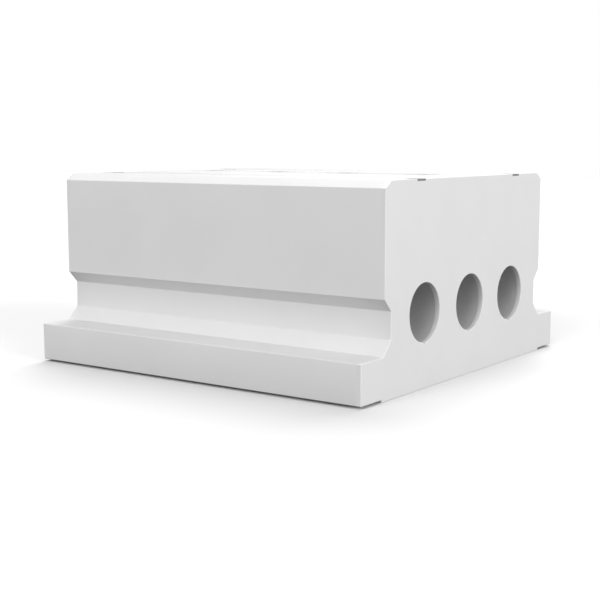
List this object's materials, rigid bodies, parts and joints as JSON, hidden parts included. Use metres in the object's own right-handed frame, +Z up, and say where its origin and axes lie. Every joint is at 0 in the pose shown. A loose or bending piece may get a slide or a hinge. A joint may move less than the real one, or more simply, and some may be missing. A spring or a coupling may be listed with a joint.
{
  "type": "water filled barrier",
  "caption": "Hollow white polyethylene ballast block with waisted sides, broad feet, through ducts along it, screw fillers in the deck and drain plugs in one end.",
  "frame": {"origin": "centre of the footprint, on the ground", "axes": "+X along the ducts towards the end wall without drains, +Y across towards the side that the fillers lie on, +Z up"},
  "size_m": [1, 1.006, 0.495],
  "materials": {
    "tank_polyethylene": "matt, fine orange-peel, scraped weld seams",
    "inner_polyethylene": "matt extruded tube and sheet",
    "deck_polyethylene": "matt, fine grain",
    "strip_elastomer": "matt pale elastomer",
    "cap_polypropylene": "satin moulded",
    "seal_rubber": "matt black rubber",
    "plug_rubber": "matt grey rubber"
  },
  "bodies": {
    "tank": {"left_side_profile": "tank_polyethylene", "right_side_profile": "tank_polyethylene", "front_end_wall": "tank_polyethylene", "rear_end_wall": "tank_polyethylene", "top_deck": "deck_polyethylene", "floor_plate": "tank_polyethylene", "skid_plate": "tank_polyethylene", "left_duct_tube": "inner_polyethylene", "centre_duct_tube": "inner_polyethylene", "right_duct_tube": "inner_polyethylene", "front_surge_baffle": "inner_polyethylene", "middle_surge_baffle": "inner_polyethylene", "rear_surge_baffle": "inner_polyethylene", "left_stacking_strip": "strip_elastomer", "right_stacking_strip": "strip_elastomer", "left_front_groove_plug": "plug_rubber", "right_front_groove_plug": "plug_rubber", "left_rear_groove_plug": "plug_rubber", "right_rear_groove_plug": "plug_rubber", "filler_neck_1": "inner_polyethylene", "filler_neck_2": "inner_polyethylene", "filler_neck_3": "inner_polyethylene", "filler_neck_4": "inner_polyethylene", "left_drain_socket": "inner_polyethylene", "right_drain_socket": "inner_polyethylene"},
    "filler_seal_1": {"filler_seal_1": "seal_rubber"},
    "filler_cap_1": {"filler_cap_1": "cap_polypropylene"},
    "filler_seal_2": {"filler_seal_2": "seal_rubber"},
    "filler_cap_2": {"filler_cap_2": "cap_polypropylene"},
    "filler_seal_3": {"filler_seal_3": "seal_rubber"},
    "filler_cap_3": {"filler_cap_3": "cap_polypropylene"},
    "filler_seal_4": {"filler_seal_4": "seal_rubber"},
    "filler_cap_4": {"filler_cap_4": "cap_polypropylene"},
    "left_drain_seal": {"left_drain_seal": "seal_rubber"},
    "left_drain_plug": {"left_drain_plug": "cap_polypropylene"},
    "right_drain_seal": {"right_drain_seal": "seal_rubber"},
    "right_drain_plug": {"right_drain_plug": "cap_polypropylene"}
  },
  "joints": [
    {"name": "filler_cap_1_lift", "type": "slide", "parent": "tank", "child": "filler_seal_1", "axis": [0, 0, 1], "range_m": [0, 0.009]},
    {"name": "filler_cap_1_turn", "type": "hinge", "parent": "filler_seal_1", "child": "filler_cap_1", "pos_m": [-0.42, 0.084, 0.485], "axis": [0, 0, 1], "range_deg": [0, 540]},
    {"name": "filler_cap_2_lift", "type": "slide", "parent": "tank", "child": "filler_seal_2", "axis": [0, 0, 1], "range_m": [0, 0.009]},
    {"name": "filler_cap_2_turn", "type": "hinge", "parent": "filler_seal_2", "child": "filler_cap_2", "pos_m": [-0.18, 0.084, 0.485], "axis": [0, 0, 1], "range_deg": [0, 540]},
    {"name": "filler_cap_3_lift", "type": "slide", "parent": "tank", "child": "filler_seal_3", "axis": [0, 0, 1], "range_m": [0, 0.009]},
    {"name": "filler_cap_3_turn", "type": "hinge", "parent": "filler_seal_3", "child": "filler_cap_3", "pos_m": [0.06, 0.084, 0.485], "axis": [0, 0, 1], "range_deg": [0, 540]},
    {"name": "filler_cap_4_lift", "type": "slide", "parent": "tank", "child": "filler_seal_4", "axis": [0, 0, 1], "range_m": [0, 0.009]},
    {"name": "filler_cap_4_turn", "type": "hinge", "parent": "filler_seal_4", "child": "filler_cap_4", "pos_m": [0.3, 0.084, 0.485], "axis": [0, 0, 1], "range_deg": [0, 540]},
    {"name": "left_drain_plug_draw", "type": "slide", "parent": "tank", "child": "left_drain_seal", "axis": [-1, 0, 0], "range_m": [0, 0.009]},
    {"name": "left_drain_plug_turn", "type": "hinge", "parent": "left_drain_seal", "child": "left_drain_plug", "pos_m": [-0.49, -0.113, 0.062], "axis": [-1, 0, 0], "range_deg": [0, 540]},
    {"name": "right_drain_plug_draw", "type": "slide", "parent": "tank", "child": "right_drain_seal", "axis": [-1, 0, 0], "range_m": [0, 0.009]},
    {"name": "right_drain_plug_turn", "type": "hinge", "parent": "right_drain_seal", "child": "right_drain_plug", "pos_m": [-0.49, 0.113, 0.062], "axis": [-1, 0, 0], "range_deg": [0, 540]}
  ],
  "couplings": [
    {"joint": "filler_cap_1_turn", "follows": "filler_cap_1_lift", "rad_per_m": 1047.2},
    {"joint": "filler_cap_2_turn", "follows": "filler_cap_2_lift", "rad_per_m": 1047.2},
    {"joint": "filler_cap_3_turn", "follows": "filler_cap_3_lift", "rad_per_m": 1047.2},
    {"joint": "filler_cap_4_turn", "follows": "filler_cap_4_lift", "rad_per_m": 1047.2},
    {"joint": "left_drain_plug_turn", "follows": "left_drain_plug_draw", "rad_per_m": 1047.2},
    {"joint": "right_drain_plug_turn", "follows": "right_drain_plug_draw", "rad_per_m": 1047.2}
  ]
}
